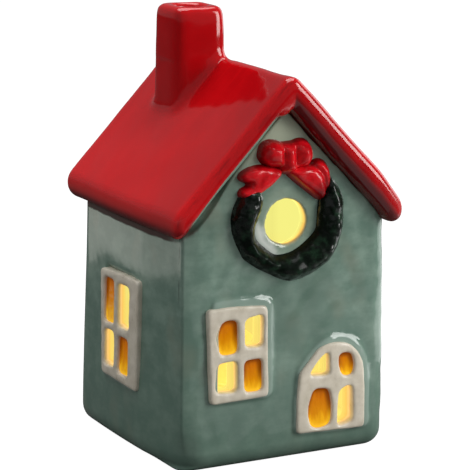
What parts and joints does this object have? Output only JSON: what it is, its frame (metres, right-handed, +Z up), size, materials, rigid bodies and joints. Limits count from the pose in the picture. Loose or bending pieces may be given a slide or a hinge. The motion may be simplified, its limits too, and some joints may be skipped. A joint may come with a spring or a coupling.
{
  "type": "ceramic village house",
  "caption": "Glazed ceramic gabled house ornament with pierced windows, wreath and bow, lit from inside by a battery light that pushes into a socket in its floor.",
  "frame": {"origin": "centre of the footprint, on the surface the house stands on", "axes": "+Z up, the front gable with the wreath faces -Y, +X to the right seen from the front"},
  "size_m": [0.0676, 0.0694, 0.1175],
  "materials": {
    "wall_glaze": "gloss sage glaze",
    "roof_glaze": "gloss red glaze",
    "wreath_glaze": "gloss dark green glaze",
    "bow_glaze": "gloss red glaze",
    "frame_glaze": "gloss off-white glaze",
    "pane_glaze": "gloss amber glaze",
    "unit_plastic": "fine moulded texture",
    "gasket_silicone": "soft matt",
    "diffuser_plastic": "frosted",
    "board_laminate": "solder mask",
    "lamp_epoxy": "clear cast epoxy",
    "lead_steel": "tinned",
    "resistor_body": "matt",
    "screw_steel": "zinc plated",
    "switch_plastic": "fine moulded texture",
    "cell_steel": "nickel plated"
  },
  "bodies": {
    "house": {"house_walls": "wall_glaze", "roof": "roof_glaze", "chimney": "roof_glaze", "wreath": "wreath_glaze", "bow_left_loop": "bow_glaze", "bow_right_loop": "bow_glaze", "bow_knot": "bow_glaze", "bow_left_tail": "bow_glaze", "bow_right_tail": "bow_glaze", "front_window_frame": "frame_glaze", "left_window_frame": "frame_glaze", "right_window_frame": "frame_glaze", "arched_door_frame": "frame_glaze", "front_window_glaze": "pane_glaze", "left_window_glaze": "pane_glaze", "right_window_glaze": "pane_glaze", "arched_door_glaze": "pane_glaze"},
    "light_unit": {"unit_housing": "unit_plastic", "socket_gasket": "gasket_silicone", "top_cover": "unit_plastic", "diffuser_dome": "diffuser_plastic", "circuit_board": "board_laminate", "led": "lamp_epoxy", "led_leads": "lead_steel", "resistor": "resistor_body", "board_screws": "screw_steel", "switch_body": "switch_plastic", "coin_cell": "cell_steel", "positive_contact": "lead_steel", "negative_contact": "lead_steel"},
    "switch_slider": {"switch_slider": "switch_plastic"},
    "battery_door": {"battery_door": "unit_plastic"},
    "door_screw": {"door_screw": "screw_steel"}
  },
  "joints": [
    {"name": "light_pull", "type": "slide", "parent": "house", "child": "light_unit", "axis": [0, 0, -1], "range_m": [0, 0.036]},
    {"name": "switch_slide", "type": "slide", "parent": "light_unit", "child": "switch_slider", "axis": [0, -1, 0], "range_m": [0, 0.002]},
    {"name": "battery_door_lift", "type": "slide", "parent": "light_unit", "child": "battery_door", "axis": [0, 0, -1], "range_m": [0, 0.014]},
    {"name": "door_screw_turn", "type": "hinge", "parent": "battery_door", "child": "door_screw", "pos_m": [0.0032, 0.01178, 0.001], "axis": [0, 0, 1], "continuous": true}
  ]
}
